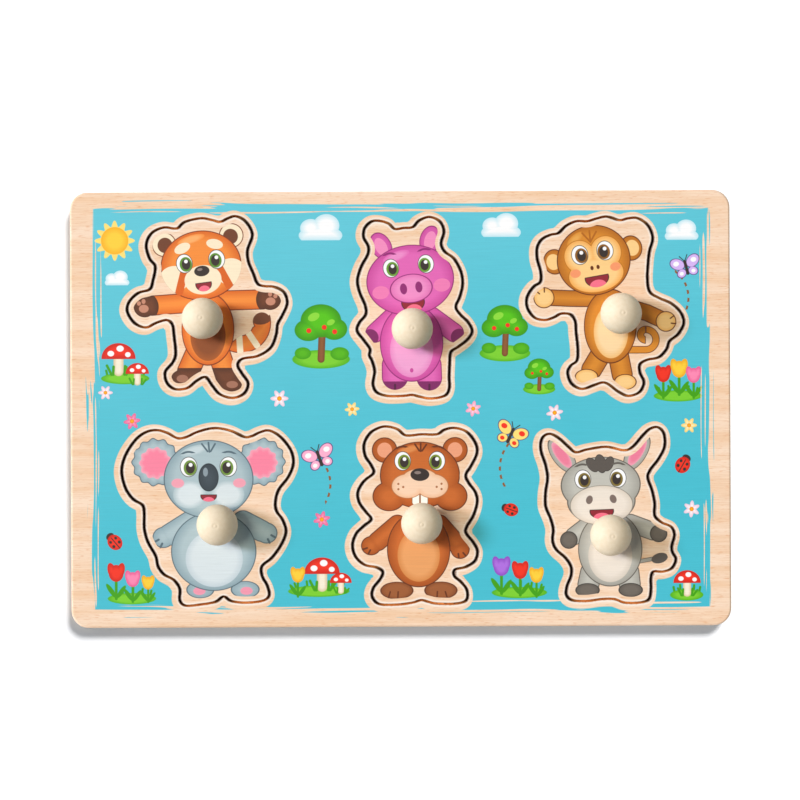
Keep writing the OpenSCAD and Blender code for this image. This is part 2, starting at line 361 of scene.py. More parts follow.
def wound(loop, left):
    """The loop run with its area on its left, or on its right."""
    x, y = loop.T
    return loop if (x @ np.roll(y, -1) > y @ np.roll(x, -1)) == left else loop[::-1]


def leftward(loop):
    """Unit vectors to the left of a closed loop's direction, at its points."""
    step = np.roll(loop, -1, 0) - np.roll(loop, 1, 0)
    return np.stack([-step[:, 1], step[:, 0]], 1) / np.linalg.norm(step, axis=1, keepdims=True)


def away(points, loop):
    """Distance of each point from a closed loop, FAR when it is well clear of it, and whether the loop goes
    round it: for each side of the loop, the nearest place on it, and whether a level line from the point
    crosses it."""
    near = np.full(len(points), FAR)
    within = np.zeros(len(points), bool)
    local = ((points > loop.min(0) - FAR) & (points < loop.max(0) + FAR)).all(1)
    a = loop[None]
    ab = np.roll(loop, -1, 0)[None] - a
    ap = points[local][:, None] - a
    t = np.clip((ap * ab).sum(2) / (ab * ab).sum(2), 0, 1)
    near[local] = np.sqrt(((ap - t[..., None] * ab) ** 2).sum(2).min(1))
    spans = (ap[..., 1] >= 0) != (ap[..., 1] >= ab[..., 1])
    slope = np.where(spans, ap[..., 1] / np.where(spans, ab[..., 1], 1), 0)
    within[local] = (spans & (ap[..., 0] < slope * ab[..., 0])).sum(1) % 2 == 1
    return near, within


def beyond(points, loops):
    """How far each point lies outside the nearest of some loops, less than nothing inside one."""
    reach = np.full(len(points), FAR)
    for loop in loops:
        near, within = away(points, loop)
        reach = np.minimum(reach, np.where(within, -near, near))
    return reach


def grid_inside(loops, scorched_cuts, step):
    """A square grid of points on a sheet, that keep clear of all its loops, with their distance from the
    nearest scorched cut."""
    low, high = loops[0].min(0), loops[0].max(0)
    axes = [np.arange(low[k] + step / 2, high[k], step) for k in (0, 1)]
    points = np.stack(np.meshgrid(*axes), -1).reshape(-1, 2)
    cut = np.full(len(points), FAR)
    solid = np.ones(len(points), bool)
    for k, (loop, scorched_cut) in enumerate(zip(loops, scorched_cuts)):
        near, within = away(points, loop)
        solid &= (within == (k == 0)) & (near > GRID_CLEAR_SHARE * step)
        if scorched_cut:
            cut = np.minimum(cut, near)
    return points[solid], cut[solid]


def rim_rings(low, high, low_ease, top_ease, steps=4):
    """Insets and heights up a sheet's edge: a quarter round, the straight wall, and a quarter round."""
    a = np.linspace(0, math.pi / 2, steps)
    inset = np.concatenate([low_ease * (1 - np.sin(a)), top_ease * (1 - np.cos(a))])
    height = np.concatenate([low + low_ease * (1 - np.cos(a)), high - top_ease * (1 - np.sin(a))])
    return inset, height


def filled(rings, inner):
    """Triangles over the area between closed rings of points, through some inner points. A triangle with all
    three corners on one ring stays only if its middle lies inside the first ring, or outside another."""
    points = np.concatenate([*rings, inner])
    starts = np.cumsum([0] + [len(r) for r in rings])
    edges = np.concatenate([
        np.stack([np.arange(len(r)), np.roll(np.arange(len(r)), -1)], 1) + s for r, s in zip(rings, starts)])
    made = delaunay_2d_cdt(list(map(Vector, points.tolist())), edges.tolist(), [], 0, 1e-6)
    origin = np.array([ids[0] for ids in made[3]])
    faces = origin[np.array(made[2])]
    owner = np.repeat(np.arange(len(rings) + 1), [*map(len, rings), len(inner)])[faces]
    keep = np.ones(len(faces), bool)
    for k, ring in enumerate(rings):
        same = np.flatnonzero((owner == k).all(1))
        keep[same] = away(points[faces[same]].mean(1), ring)[1] == (k == 0)
    faces = faces[keep]
    a, b, c = (points[faces[:, k]] for k in range(3))
    turn = (b - a)[:, 0] * (c - a)[:, 1] - (b - a)[:, 1] * (c - a)[:, 0]
    return np.where(turn[:, None] > 0, faces, faces[:, ::-1])


def placed(name, data):
    """A new object in the scene."""
    made = bpy.data.objects.new(name, data)
    bpy.context.scene.collection.objects.link(made)
    return made


def new_mesh(name, points, faces, smooth, attributes):
    """A mesh object from arrays in millimetres, with numbers stored on its points."""
    mesh = bpy.data.meshes.new(name)
    mesh.from_pydata((points * MM).tolist(), [], faces)
    mesh.polygons.foreach_set("use_smooth", smooth)
    for key, values in attributes.items():
        mesh.attributes.new(key, "FLOAT", "POINT").data.foreach_set("value", values)
    return placed(name, mesh)


def sheet(name, rims, step, marks=(), shift=(0.0, 0.0)):
    """A sawn sheet: round each of its loops, rings of points up the edge; over it, a net of triangles;
    under it, another. The points keep their distance from the nearest cut, how much they lie on a cut wall,
    how far a cut there lies across the grain, and how far they lie from the sheet's openings, or from the
    loops that mark it, when those are shifted a little. Each rim is a loop, its rings' insets and heights,
    and whether it is a scorched cut; the first one goes round the sheet."""
    loops = [wound(rim[0], k == 0) for k, rim in enumerate(rims)]
    points, quads, tops, lows, cut, wall, across, smooth = [], [], [], [], [], [], [], []
    start = 0
    for loop, (_, (inset, height), scorched_cut) in zip(loops, rims):
        ring = raised(loop[None] + inset[:, None, None] * leftward(loop)[None], height)
        rows, count = ring.shape[:2]
        index = start + np.arange(rows * count).reshape(rows, count)
        quads.append(strips(index))
        smooth.append(np.full(len(quads[-1]), rows > BORE_RINGS))
        points.append(ring.reshape(-1, 3))
        clean = (np.arange(rows) == 0) & (inset[0] > 0)
        cut.append(np.repeat(np.where(clean, FAR, inset) if scorched_cut else np.full(rows, FAR), count))
        wall.append(np.repeat((inset < 0.01) * float(scorched_cut), count))
        across.append(np.tile(np.abs(leftward(loop)[:, 0]), rows))
        tops.append(index[-1])
        lows.append(index[0])
        start += rows * count
    inner, inner_cut = grid_inside(loops, [rim[2] for rim in rims], step)
    marks = [wound(loop, True)[::REFINE] for loop in marks]
    beside = [loop + inset * leftward(loop) for loop in marks for inset in MARK_INSETS]
    lie = [np.abs(leftward(loop)[:, 0]) for loop in marks for _ in MARK_INSETS]
    inner_across = np.concatenate([np.full(len(inner), 0.5), *lie])
    inner = np.concatenate([inner, *beside])
    inner_cut = np.concatenate([inner_cut, np.full(len(inner) - len(inner_cut), FAR)])
    top_ids = np.concatenate([*tops, start + np.arange(len(inner))])
    points.append(np.column_stack([inner, np.full(len(inner), rims[0][1][1][-1])]))
    points = np.concatenate(points)
    top = top_ids[filled([points[ids, :2] for ids in tops], inner)]
    under = np.concatenate(lows)[filled([points[ids, :2] for ids in lows], np.empty((0, 2)))][:, ::-1]
    smooth = np.concatenate([*smooth, np.zeros(len(top) + len(under), bool)])
    bare = np.zeros(len(points))
    bare[top_ids] = beyond(points[top_ids, :2] - shift, marks or loops[1:])
    numbers = {"cut": np.concatenate([*cut, inner_cut]),
               "wall": np.concatenate([*wall, np.zeros(len(inner))]),
               "across": np.concatenate([*across, inner_across]), "bare": bare}
    faces = np.concatenate(quads).tolist() + top.tolist() + under.tolist()
    return new_mesh(name, points, faces, smooth, numbers)


def rounded_rectangle(low, high, steps=12):
    """The board's outline: four quarter rounds, joined by straight sides."""
    a = np.linspace(0, math.pi / 2, steps)
    turns = np.concatenate([a + k * math.pi / 2 for k in range(4)])
    middles = np.array([[high[0], high[1]], [low[0], high[1]], [low[0], low[1]], [high[0], low[1]]])
    inward = np.array([[-1, -1], [1, -1], [1, 1], [-1, 1]]) * CORNER_R
    return np.repeat(middles + inward, steps, 0) + CORNER_R * circle(turns)


def screw_bore(middle, steps=32):
    """The circle that the screw's bore is drilled on."""
    return middle + BORE_R * circle(np.arange(steps) / steps * 2 * math.pi)


def bore_rings(low, high):
    """Widening and heights up a screw's bore: the countersink's rim and cone, then the straight bore."""
    wide = SEAT_R - BORE_R
    return np.array([wide, wide, 0.0, 0.0]), np.array([low, low + SEAT_H, low + SEAT_H + wide, high])


def knob(name):
    """A turned knob: a profile carried round its axis. From the middle of its foot the profile runs out to a
    small round, up a rim, in along a cove to the waist, and out and in again over two parts of ellipses to
    the crown, where the lathe left a low pip."""
    low, high = corners(name + "_knob")
    middle = (low + high) / 2
    head_r = (high[0] - low[0]) / 2
    height = high[2] - low[2]
    widest = KNOB_NECK_H + KNOB_WIDEST_SHARE * (height - KNOB_NECK_H)
    neck_turn = math.acos(KNOB_NECK_R / head_r)
    under_h = (widest - KNOB_NECK_H) / math.sin(neck_turn)
    foot = np.array([[2.0, 0.0], [KNOB_FOOT_R - 0.25, 0.0], [KNOB_FOOT_R - 0.07, 0.07], [KNOB_FOOT_R, 0.25],
                     [KNOB_FOOT_R, KNOB_FOOT_H - 0.2], [KNOB_FOOT_R - 0.06, KNOB_FOOT_H - 0.05]])
    a = np.linspace(0.12, 1, 10) * math.pi / 2
    cove = np.stack([KNOB_FOOT_R - (KNOB_FOOT_R - KNOB_NECK_R) * np.sin(a),
                     KNOB_FOOT_H + (KNOB_NECK_H - KNOB_FOOT_H) * (1 - np.cos(a))], 1)
    a = np.linspace(-neck_turn, 0, 20)[1:]
    under = circle(a) * [head_r, under_h] + [0, widest]
    a = np.linspace(0, 1, 44)[1:-1] ** 0.85 * math.pi / 2
    dome = circle(a) * [head_r, height - widest] + [0, widest]
    dome[:, 1] -= PIP_DEPTH * np.exp(-((dome[:, 0] - PIP_R) / PIP_SPREAD) ** 2)
    profile = np.concatenate([foot, cove, under, dome])
    turns = np.arange(KNOB_TURN) / KNOB_TURN * 2 * math.pi
    ring = raised(profile[:, None, :1] * circle(turns)[None], profile[:, 1])
    points = np.concatenate([ring.reshape(-1, 3), [[0, 0, 0], [0, 0, height - CROWN_DROP]]])
    index = np.arange(len(profile) * KNOB_TURN).reshape(len(profile), KNOB_TURN)
    foot_id, crown_id = len(points) - 2, len(points) - 1
    fans = np.concatenate([
        np.stack([np.roll(index[0], -1), index[0], np.full(KNOB_TURN, foot_id)], 1),
        np.stack([index[-1], np.roll(index[-1], -1), np.full(KNOB_TURN, crown_id)], 1)])
    reach = np.linalg.norm(points[:, :2], axis=1)
    points = points + [middle[0], middle[1], low[2]]
    faces = strips(index).tolist() + fans.tolist()
    return new_mesh(name + "_turned_knob", points, faces, np.ones(len(faces), bool), {"reach": reach})


# Wood

def wood(paint, pale, deep, fleck, shift=(0.0, 0.0, 0.0)):
    """Sawn sheet with its grain along X: long soft streaks, fine fibres, and short darker flecks."""
    streak = paint.noise((0.012, 0.2, 0.2), 3.0, shift)
    fibre = paint.noise((0.07, 2.4, 2.4), 2.0, shift)
    dash = paint.noise((0.3, 1.9, 1.9), 1.0, shift)
    grain = streak * 0.65 + fibre * 0.35
    colour = paint.mix(paint.ramp(grain, 0.36, 0.62), deep, pale)
    return paint.mix(paint.ramp(dash, 0.58, 0.78, 0.0, 0.55), colour, fleck), fibre


def burn_and_gap_shade(paint, streaks):
    """How dark a cut is painted: burnt by the blade's heat, and patchy, with painted shade that is full
    where the cut lies across the grain and less along it.
    """
    patches = paint.noise((0.12, 0.12, 0.0), 1.0)
    return paint.ramp(paint.attribute("across") + streaks * 0.3 + patches * 0.9, 0.8, 1.35)


def scorched(paint, colour):
    """Wood near a cut: a painted highlight, pale, on its rounded edge; browned by the blade's heat beside
    the cut; and dark with upright streaks on the cut's wall. The brown and the dark are also painted shade,
    deepest where the cut lies across the grain."""
    streaks = paint.noise((0.9, 0.9, 0.06))
    cut = paint.attribute("cut")
    # Painted highlight: a pale band along the cut's rounded edge, fading out about 1.3 mm from the cut
    colour = paint.mix(paint.ramp(cut, 0.35, 1.3, 0.8, 0.0), colour, "fff9f0")
    across = burn_and_gap_shade(paint, streaks)
    # Burn beside the cut, with painted shade: brown where the cut runs along the grain, dark where it lies
    # across it
    burn_and_shade = paint.ramp(cut + streaks * 0.5 - across * 0.3, 0.15, 0.5, 0.85, 0.0)
    colour = paint.mix(burn_and_shade, colour, paint.mix(across, "b98450", "6b3d18"))
    # The cut's wall: burnt, with painted light where the cut runs along the grain and painted shade where it
    # lies across it
    soot_and_shade = paint.mix(across, LIT_SCORCH, SHADED_CHAR)
    return paint.mix(paint.attribute("wall") * paint.ramp(streaks, 0.2, 0.8, 0.98, 0.7), colour, soot_and_shade)


def backing_wood(inside_z):
    """Plain sheet, with a dark glue line round its edge, and a dark band under the cuts above it: burn, with
    painted shade on the floor of the narrow gap, darkest where the cut lies across the grain.
    """
    paint = Paint("backing_sheet_wood")
    colour, fibre = wood(paint, "efcfa9", "dfb487", "c8935f", (3.0, 40.0, 7.0))
    glue = paint.ramp(abs(paint.height() - inside_z / 2), 0.12, 0.3, 0.35, 0.0)
    colour = paint.mix(glue, colour, "8a5a30")
    # Painted shade on the gap's floor round each recess: burnt brown where the cut runs along the grain,
    # near black across it
    near = paint.ramp(abs(paint.attribute("bare") + 0.9), 0.9, 1.9, 0.94, 0.0)
    soot_and_shade = paint.mix(burn_and_gap_shade(paint, fibre), LIT_SCORCH, SHADED_CHAR)
    colour = paint.mix(near * paint.on_top(inside_z), colour, soot_and_shade)
    return paint.finish(colour, paint.ramp(fibre, 0.3, 0.7, 0.55, 0.7), fibre, Specular_IOR_Level=0.3)


def knob_wood():
    """Turned wood: faint rings about the axis, streaks along it, and the lathe's fine lines."""
    paint = Paint("turned_knob_wood")
    reach = paint.attribute("reach")
    wander = paint.noise((0.16, 0.16, 0.02))
    ring = (reach * 2.1 + wander * 9.0).math("SINE")
    streak = paint.noise((0.7, 0.7, 0.05))
    tone = ring * 0.06 + streak
    colour = paint.mix(paint.ramp(tone, 0.2, 0.8), "e8d5b6", "eedec3")
    lines = (paint.height() * 9.0).math("SINE")
    return paint.finish(colour, paint.ramp(streak, 0.3, 0.7, 0.5, 0.62), ring * 0.05 + lines * 0.1, 0.02,
                        Specular_IOR_Level=0.3)


def screw_zinc():
    """Zinc plating, a little blotched."""
    paint = Paint("screw_zinc")
    blotch = paint.noise((0.8, 0.8, 0.8), 3.0)
    colour = paint.mix(paint.ramp(blotch, 0.35, 0.65), "b9b7ac", "d6d7d4")
    return paint.finish(colour, paint.ramp(blotch, 0.3, 0.7, 0.28, 0.45), Metallic=1.0)


# Inks

WHITE = "ffffff"
SOOT = "2b211d"
LIP = "8c2430"
TONGUE = "f4718a"
LEAF = "3f9d06"
RED = "f4331e"
RED_DEEP = "c91d10"


def eyes(ink, face, pair, x, y, size, iris):
    """A pair of eyes: a white, an iris and a pupil that look a little inwards, and a glint in each."""
    ink(pair.oval(x, y, 0.86 * size, size), WHITE, SOOT, width=0.3)
    ink(pair.oval(x - 0.14 * size, y - 0.1 * size, 0.64 * size, 0.76 * size), iris)
    ink(pair.oval(x - 0.16 * size, y - 0.1 * size, 0.44 * size, 0.56 * size), SOOT)
    up, glint = y + 0.2 * size, 0.19 * size
    ink(face.ovals((x, up, glint, glint), (glint - x, up, glint, glint)), WHITE)


def smile(ink, face, y, width, depth):
    """An open smile: an oval cut off level at the top, with a tongue in it."""
    mouth = face.oval(0, y, width, depth) & face.below(y + 0.25 * depth)
    ink(mouth, LIP, SOOT, width=0.35)
    ink(mouth & face.oval(0, y - 0.9 * depth, 0.7 * width, 0.7 * depth), TONGUE)


def red_panda_art(ink, s):
    coat = fur, line, deep = "f68f3a", "7a3312", "d9641f"
    cream, dark, darker = "fdeccb", "6a3a22", "4a2614"
    tail = s.arch(15.3, -7.3, 9.6, 4.1, -55, 62) | s.oval(24.8, -6.6, 4.1, 4.1)
    ink(tail, *coat)
    bands = s.bars(1.4, (14.4, -12, 15, -21), (18.6, -11.6, 22.6, -17.6))
    ink(tail & bands, cream)
    ink(tail & s.oval(24.6, -4.8, 5, 3.2, 8), dark)
    legs = s.bars(5.2, (-4.6, -20, -8.6, -29), (5, -20, 8.6, -31))
    legs |= s.ovals((-10.8, -32, 5.6, 3.8), (10.4, -34.8, 5.6, 3.6))
    ink(legs, *coat)
    ink(legs & s.below(-27.6), dark, rim=darker, depth=3)
    ink(s.ovals((-11.4, -32.4, 2.6, 1.7), (11.2, -35.2, 2.6, 1.6)), "a5705a")
    arms = s.bars(4.6, (-8, 2, -25, 0.8), (8, 3, 25, 3.4))
    arms |= s.ovals((-28.4, 0.4, 5, 4.9), (28.6, 3.5, 5, 4.9))
    ink(arms, *coat)
    ink(arms & s.ovals((-29, 0.2, 7, 7), (29.2, 3.4, 7, 7)), dark, rim=darker, depth=3)
    pads = s.ovals((-28.8, -0.6, 2.2, 1.8), (-31, 1.8, 0.9, 1), (-28.9, 2.7, 0.9, 1.1),
                   (28.8, 2.5, 2.2, 1.8), (31, 4.9, 0.9, 1), (28.6, 5.8, 0.9, 1.1))
    ink(pads, "c98a70")
    ink(s.oval(0.3, -10, 12, 16.6), *coat)
    ink(s.oval(0.3, -13, 8, 11.4), "8a4a24", rim="a85a28", depth=3)
    face, pair = s.both(-2.7, 19, 7.5)
    ink(pair.oval(15.4, 11.6, 5.6, 5.6), cream, line)
    ink(pair.oval(15, 11.2, 3.4, 3.5), dark)
    head = face.oval(0, 0, 18.4, 15.8)
    ink(head, *coat, 5)
    ink(face.oval(-3, 12.2, 6.4, 1.9, 10), "ffb169", rim=fur, depth=1.7)
    ink(head & pair.ovals((13, -4.6, 6.8, 6), (7.4, 8.8, 3.8, 2.2, -18)), cream)
    ink(pair.bar(7.6, -1, 11.4, -10.6, 1.8) & head, deep)
    ink(face.oval(0, -6.6, 8.4, 6.6), cream)
    eyes(ink, face, pair, 7.4, 1.8, 4.4, "5d8c2e")
    ink(face.oval(0, -2.6, 3.5, 2.4), SOOT)
    ink(face.oval(-0.8, -1.8, 1.2, 0.6), "8a7a74")
    smile(ink, face, -8.6, 3.8, 3.3)


def pig_art(ink, s):
    coat = skin, line, deep = "e468b6", "8f2a70", "cb4a9c"
    pale, hoof = "f2a6d4", "7d2560"
    legs = s.bar(-9, -26, -9, -31.2, 6) | s.bar(6.4, -26, 6.6, -31.8, 5.8)
    ink(legs, *coat)
    ink(legs & s.below(-33.4), hoof)
    ink(legs & s.bars(0.5, (-9, -35, -9, -39), (6.6, -35, 6.6, -39)), "4e123a")
    arms = s.bars(4.4, (-10, -4, -18, -11.4), (8, -4, 18, -11.4))
    ink(arms, *coat)
    ink(arms & s.ovals((-20.2, -13.4, 3.8, 3.8), (20.2, -13.4, 3.8, 3.8)), hoof)
    ink(s.oval(-1.4, -16, 14.4, 17.6), *coat, 5)
    ink(s.oval(-1.4, -19, 9.8, 12.6), pale, rim="ea8cc6", depth=3)
    ink(s.oval(-1.4, -28.4, 0.8, 1), deep)
    face, pair = s.both(-1.9, 12.6, 7)
    ink(pair.oval(11.2, 17, 4.7, 6.6, -22), *coat)
    ink(pair.oval(11.2, 16.6, 2.6, 4.4, -22), "f58fc0")
    ink(face.oval(0, 0, 20, 16), *coat, 5)
    ink(face.oval(-5, 11.4, 6.4, 2.2, 14), "f08fcb", rim=skin, depth=2)
    ink(pair.oval(14, -4, 3.8, 3), "f27fb6")
    eyes(ink, face, pair, 8, 6.4, 4.3, "6a9a34")
    ink(pair.arch(8, 8.6, 4.6, 0.45, 90, 35), line)
    smile(ink, face, -10.2, 5.4, 4.4)
    ink(face.oval(0, -3.8, 9.8, 6.6), "f190c8", line, "e26fb4", 3)
    ink(pair.oval(3.5, -3.6, 1.6, 2.5), line)


def monkey_art(ink, s):
    coat = fur, line, deep = "d98a2c", "5e2a08", "b0651a"
    tan, tan_deep = "fdd08a", "f2b35c"
    tail = s.bar(8, -19.8, 18.4, -19.8, 1.7) | s.arch(18.4, -15.2, 4.6, 1.7, 0, 90)
    ink(tail | s.arch(18.4, -13, 2.4, 1.7, 180, 90), fur, line, width=0.35)
    ink(s.bars(4.8, (-1, -20, -6.2, -28.6), (5.5, -20, 7.6, -31)), *coat)
    ink(s.ovals((-8.6, -32, 5.4, 3.6), (9, -34.4, 5.2, 3.6)), tan, line, tan_deep, 2)
    arms = s.bars(3.8, (-4, 3.4, -16, 3.6), (-16, 3.6, -24.6, 4))
    ink(arms | s.bars(3.9, (9, 0, 19, -3), (19, -3, 25, -5.8)), *coat)
    ink(s.ovals((-27.8, 4, 4.8, 4.8), (27.6, -7, 4.7, 4.7)), tan, line, tan_deep, 2)
    fingers = s.bars(0.3, (-29.8, 5.8, -31.4, 7.2), (-27.6, 6.6, -27.6, 8.6),
                     (29.6, -5.6, 31.2, -4.4), (30, -7.8, 32, -8))
    ink(fingers, line)
    ink(s.oval(2.3, -9, 12, 17), *coat)
    ink(s.oval(2.6, -11.6, 7.8, 12), "fad9a6", rim="f4c078", depth=3)
    face, pair = s.both(-5, 20.4, 10)
    ink(pair.oval(17.6, 3, 5.2, 5.8), *coat)
    ink(pair.oval(18.2, 3, 3.1, 3.6), tan)
    ink(face.oval(0, 0.6, 16.8, 16), *coat, 5)
    ink(face.oval(-6.6, 11.4, 4.6, 2, 32), "eaa74e", rim=fur, depth=2)
    tuft = face.bars(0.4, (0, 9, -3, 13.6), (0, 9, 0.4, 14), (0, 9, 3.4, 13.2))
    ink(tuft, deep)
    ink(pair.oval(6, 3.2, 7.2, 7.6) | face.oval(0, -6, 12.8, 8.2), tan, "b8701e", "f4a94c", 3, 0.3)
    eyes(ink, face, pair, 5.8, 4, 4.5, "8a5a20")
    ink(pair.oval(1.4, -2.8, 0.75, 1), line)
    ink(pair.oval(9.2, -4, 2.4, 1.9), "f79a6a")
    smile(ink, face, -7.6, 5.6, 4.2)


def koala_art(ink, s):
    coat = fur, line, _ = "afc3c8", "566a74", "8ba4ad"
    pale = "dbe5e8"
    ink(s.ovals((-3.6, -33, 6.4, 3.9), (16.8, -33, 6.6, 3.9)), *coat)
    ink(s.ovals((-4, -33.6, 2.8, 1.8), (17.4, -33.6, 2.8, 1.8)), "f49ab0")
    arms = s.bars(5, (-8, -2, -17.6, -8), (16, -2, 24.4, -6.4))
    ink(arms | s.ovals((-20.2, -9.2, 5, 4.8), (26.6, -7.4, 5, 4.8)), *coat)
    claws = s.bars(0.5, (-22.4, -10.2, -24.2, -11.2), (-20.8, -12, -21.6, -13.6),
                   (28.8, -8.4, 30.6, -9.4), (27.2, -10.2, 28, -11.8))
    ink(claws, line)
    ink(s.oval(2.6, -15.6, 19.4, 18), *coat, 5)
    ink(s.oval(2.8, -19, 13, 12.8), pale, rim="c6d4da", depth=3)
    face, pair = s.both(0.4, 17.2)
    ink(pair.bloom(24, 7.8, 10.6, 13, 0.5), *coat, 3)
    ink(pair.bloom(24.2, 7.4, 7, 11, 0.4), "fb86a2", rim="f8a9bb", depth=2)
    ink(face.oval(0, 0, 20.4, 17.8), *coat, 5)
    ink(face.oval(-6.4, 13, 6.6, 2.2, 16), "cbdade", rim=fur, depth=2)
    tuft = face.bars(0.4, (-0.4, 12.6, -3, 16), (0.4, 12.4, 0, 16.6), (1, 12.6, 3, 16))
    ink(tuft, line)
    ink(pair.arch(9, 7.2, 5.2, 0.45, 85, 32), line)
    ink(pair.oval(8.6, -7, 7.6, 6.4), pale, rim=fur, depth=2.5)
    ink(pair.oval(14, -1.8, 2.9, 2.1), "f5a3b4")
    eyes(ink, face, pair, 9, 5.6, 4.6, "6f8f3a")
    ink(face.oval(0, 0.8, 4.6, 6.4), "3d4850", "252d33", "2e383f")
    ink(face.oval(-1.4, 3.2, 1.1, 2), "8b99a1")
    smile(ink, face, -7.6, 3.8, 2.6)


def beaver_art(ink, s):
    coat = fur, line, _ = "c9692a", "5f2a0c", "a34c14"
    feet = s.ovals((-8.4, -34, 7.6, 4), (11.6, -34, 7.6, 4))
    ink(feet, "9c5a30", line, "7d421d", 2)
    toes = s.bars(0.35, (-11.4, -34.6, -12.2, -37.2), (-7.8, -34.6, -8, -37.6),
                  (10, -34.6, 9.8, -37.6), (13.6, -34.6, 14.4, -37.2))
    ink(toes, line)
    arms = s.bars(4.5, (-8, -4, -17, -11.6), (11, -4, 18.6, -12.6))
    ink(arms | s.ovals((-20, -13.6, 4.6, 4.4), (20.4, -15.4, 4.4, 4.4)), *coat)
    claws = s.bars(0.4, (-21.8, -14.6, -23.6, -15.2), (-20.4, -15.6, -21.2, -17.2),
                   (21.8, -17, 23, -18.4), (19.6, -17.4, 19.8, -19.2))
    ink(claws, line)
    ink(s.oval(1.6, -15.4, 14.4, 17.2), *coat, 5)
    ink(s.oval(1.6, -18, 9.6, 12), "eba365", rim="d98a49", depth=3)
    face, pair = s.both(2.3, 17.6)
    ink(pair.oval(16, 12.2, 5.8, 5.8), *coat)
    ink(pair.oval(16, 12.2, 3.3, 3.4), "f0a27c")
    ink(face.oval(0, 0.8, 18.2, 15.2) | pair.oval(14, -8.8, 7.6, 6.8), *coat, 5)
    ink(face.oval(-5, 12.4, 5.6, 1.8, 14), "e08c4c", rim=fur, depth=1.6)
    tuft = face.bars(0.4, (-0.2, 11.8, -2.2, 14.8), (0.4, 11.6, 0.4, 15.2), (1, 11.8, 3, 14.6))
    ink(tuft, line)
    teeth = face.bars(1.8, (-1.9, -8, -1.9, -11.4), (1.9, -8, 1.9, -11.4))
    ink(teeth, "fffdf2", "8a6a4c", width=0.3)
    muzzle = pair.oval(5.6, -4.2, 7.4, 5.6) | face.oval(0, -1.6, 8.6, 5.4)
    ink(muzzle, "f8d3b4", "b4764a", "f0bd94", 2.5, 0.3)
    whiskers = pair.ovals((7.6, -4.6, 0.5, 0.5), (9.8, -5.6, 0.5, 0.5), (9.8, -3.2, 0.5, 0.5))
    ink(whiskers, "a8683c")
    ink(face.oval(0, 1, 4.3, 2.9), SOOT)
    ink(face.oval(-1, 1.9, 1.5, 0.7), "8a7a74")
    eyes(ink, face, pair, 7.8, 7.2, 4.4, "7a8f2c")
    ink(pair.arch(7.8, 9, 4.8, 0.45, 80, 34), line)


def donkey_art(ink, s):
    coat = _, line, deep = "c3c1b7", "5f5a52", "a3a096"
    pale, mane, hoof, hoof_deep, hoof_line = "efe4d6", "57504a", "6d655c", "575049", "3d3833"
    ink(s.bar(12, -21.4, 20.6, -19.8, 1), deep, line, width=0.3)
    ink(s.oval(23.2, -19.6, 3.8, 2.3, 15), mane)
    ink(s.bars(5, (-8, -26, -9.2, -31.4), (9, -26, 9.6, -31.4)), *coat)
    ink(s.ovals((-9.6, -34, 5.6, 3.2), (10, -34, 5.6, 3.2)), hoof, hoof_line, hoof_deep, 2)
    ink(s.bars(4.2, (-8, -3.6, -15.6, -9.4), (10, -3.6, 20.2, -7.4)), *coat)
    ink(s.ovals((-18, -11.2, 4, 4), (22.8, -8.4, 4, 4)), hoof, hoof_line, hoof_deep, 2)
    ink(s.oval(0.8, -15.4, 14.6, 17), *coat, 5)
    ink(s.oval(0.8, -18.4, 10, 12), pale, rim="dacfc0", depth=3)
    face, pair = s.both(-3.4, 13.4, 2)
    ink(pair.oval(17, 14.4, 9.4, 4.5, 56), *coat)
    ink(pair.oval(17.2, 14.6, 7, 2.6, 56), "f0809c", rim="f4a4b6", depth=1.5)
    ink(face.ovals((0, 0.4, 18.2, 12.8), (0, -7, 15.6, 10.4)), *coat, 5)
    tuft = face.ovals((0.4, 10, 2.6, 4.4, 12), (-3.4, 9.6, 2.3, 3.8, 35), (4, 9.8, 2.2, 3.6, -25))
    ink(tuft, mane, hoof_line, width=0.3)
    ink(face.oval(0, -8.8, 14.4, 9), pale, "8b8377", "dccfbe", 3, 0.3)
    ink(pair.oval(5.4, -6.2, 1.5, 2, 20), "7a6a62")
    eyes(ink, face, pair, 8, 3.2, 4.4, "7d6a30")
    ink(pair.arch(8, 5.2, 4.8, 0.45, 85, 34), line)
    smile(ink, face, -11.6, 5.6, 3.6)


# Motifs between the figures

def cloud(ink, s, x, y, size):
    c = s.spot(x, y, 0, size)
    puff = c.ovals((0, 0, 9, 4), (-4, 3, 4.4, 3.8), (2.4, 4, 5.4, 4.8))
    ink(puff & ~c.below(-2), WHITE, rim="c4eaf4", depth=2.6)


def tree(ink, s, x, y, size):
    t = s.spot(x, y, 0, size)
    ink(t.oval(0, -9, 10.5, 3.4), "7ccf2e", rim="4fae12", depth=2.4)
    ink(t.ovals((-6.6, -6.8, 3, 2.2), (6.8, -7, 3.4, 2.4)), "55b510", rim=LEAF, depth=1.8)
    trunk = t.bar(0, -9, 0.4, 0, 1.3) | t.bar(0.4, -2, 3.4, 2, 0.6)
    ink(trunk, "8a5730", rim="6d4020", depth=1)
    crown = t.ovals((0, 5, 7.4, 6), (-4.6, 1.6, 5, 4), (4.8, 2, 4.8, 4))
    ink(crown, "55c20c", rim="369006", depth=4)
    ink(t.ovals((-2.6, 6.4, 2.2, 1.4, 25), (3.6, 4.4, 1.5, 1, 25)), "8edb3c")
    ink(t.ovals((-4.4, 1.4, 0.9, 0.9), (1.2, 2.6, 0.9, 0.9), (5, 1, 0.9, 0.9)), RED)


def meadow(ink, s, x, y, reach):
    """A flat green mound, with blades of grass along its top."""
    shares = (-0.7, -0.35, 0.05, 0.4, 0.72)
    blades = [(x + reach * k, y, x + reach * k * 1.12, y + 5.4 - 2.6 * abs(k)) for k in shares]
    ink(s.bars(0.55, *blades), LEAF)
    ink(s.oval(x, y, reach, 2.6), "7ccf2e", rim="4fae12", depth=2)


